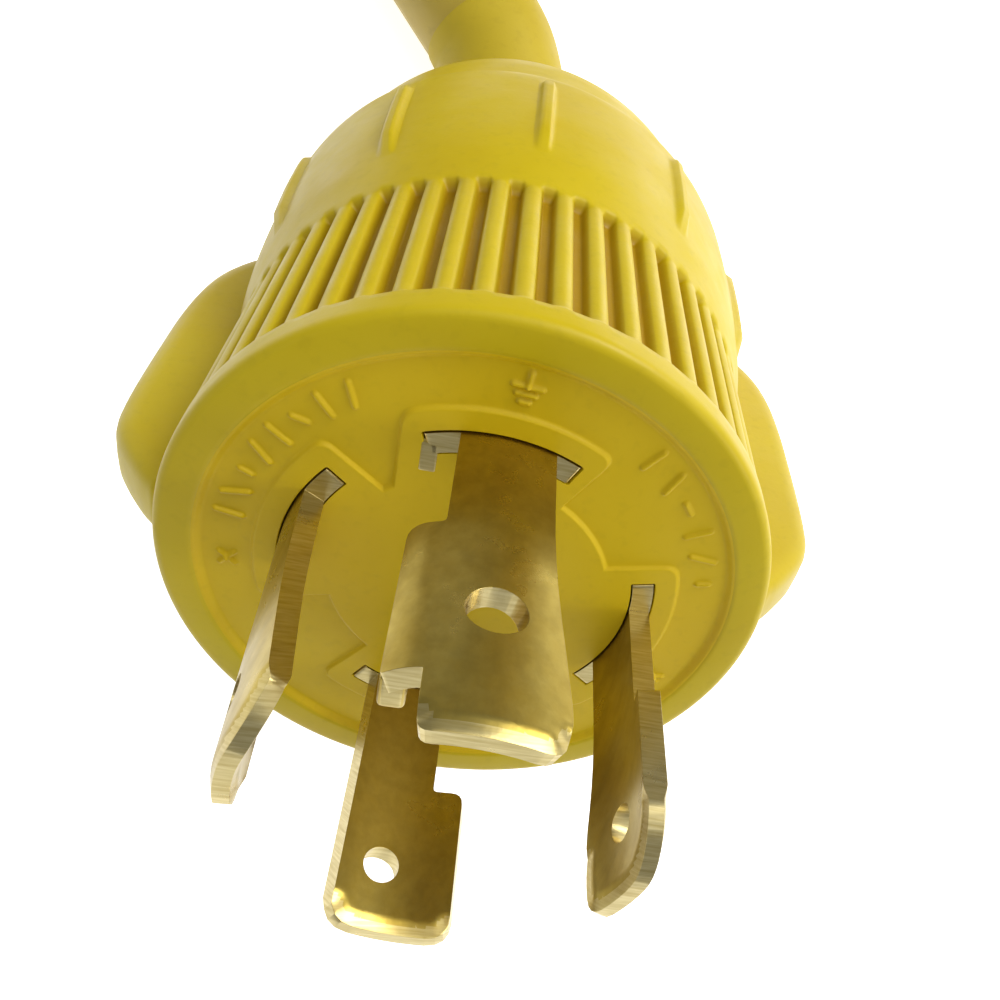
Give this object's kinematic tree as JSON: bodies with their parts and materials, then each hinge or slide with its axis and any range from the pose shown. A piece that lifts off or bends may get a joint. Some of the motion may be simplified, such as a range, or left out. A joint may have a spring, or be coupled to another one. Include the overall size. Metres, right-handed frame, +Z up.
{
  "type": "shore power cord",
  "caption": "Yellow moulded locking power plug with curved brass blades, ribbed grip and finger wings, on a heavy cord coiled behind it that ends in a matching female connector.",
  "frame": {"origin": "on the floor under the middle of the plug and its strain relief", "axes": "+Z up, +Y away from the viewer towards the cord, +X to the right; the plug leans back 45 degrees with its face up and forward"},
  "size_m": [0.2707, 0.4477, 0.1148],
  "materials": {
    "yellow_moulding": "satin moulded PVC",
    "face_moulding": "satin",
    "cord_jacket": "smooth satin PVC jacket",
    "brass_parts": "stamped, lightly polished",
    "copper": "bare stranded copper",
    "inner_plastic": "as moulded",
    "wire_green": "smooth",
    "wire_black": "smooth",
    "wire_red": "smooth",
    "wire_white": "smooth",
    "filler": "twisted fibre",
    "tie_strap": "woven hook-and-loop strap"
  },
  "bodies": {
    "root": {"blade_ground": "brass_parts", "blade_w": "brass_parts", "blade_x": "brass_parts", "blade_y": "brass_parts", "coil_tie": "tie_strap", "conductor_black": "wire_black", "conductor_green": "wire_green", "conductor_red": "wire_red", "conductor_white": "wire_white", "connector_crimps": "brass_parts", "connector_face": "face_moulding", "connector_jacket_end": "cord_jacket", "connector_mould": "inner_plastic", "connector_shell": "yellow_moulding", "connector_strain_relief": "yellow_moulding", "connector_strands": "copper", "connector_wire_black": "wire_black", "connector_wire_green": "wire_green", "connector_wire_red": "wire_red", "connector_wire_white": "wire_white", "contact_ground": "brass_parts", "contact_w": "brass_parts", "contact_x": "brass_parts", "contact_y": "brass_parts", "copper_strands": "copper", "cord_coil": "cord_jacket", "cord_jacket": "cord_jacket", "crimp_ground": "brass_parts", "crimp_w": "brass_parts", "crimp_x": "brass_parts", "crimp_y": "brass_parts", "face_insulator": "face_moulding", "filler_cords": "filler", "inner_mould": "inner_plastic", "jacket_end": "cord_jacket", "plug_shell": "yellow_moulding", "rear_insulator": "inner_plastic", "strain_relief": "yellow_moulding"}
  },
  "joints": []
}
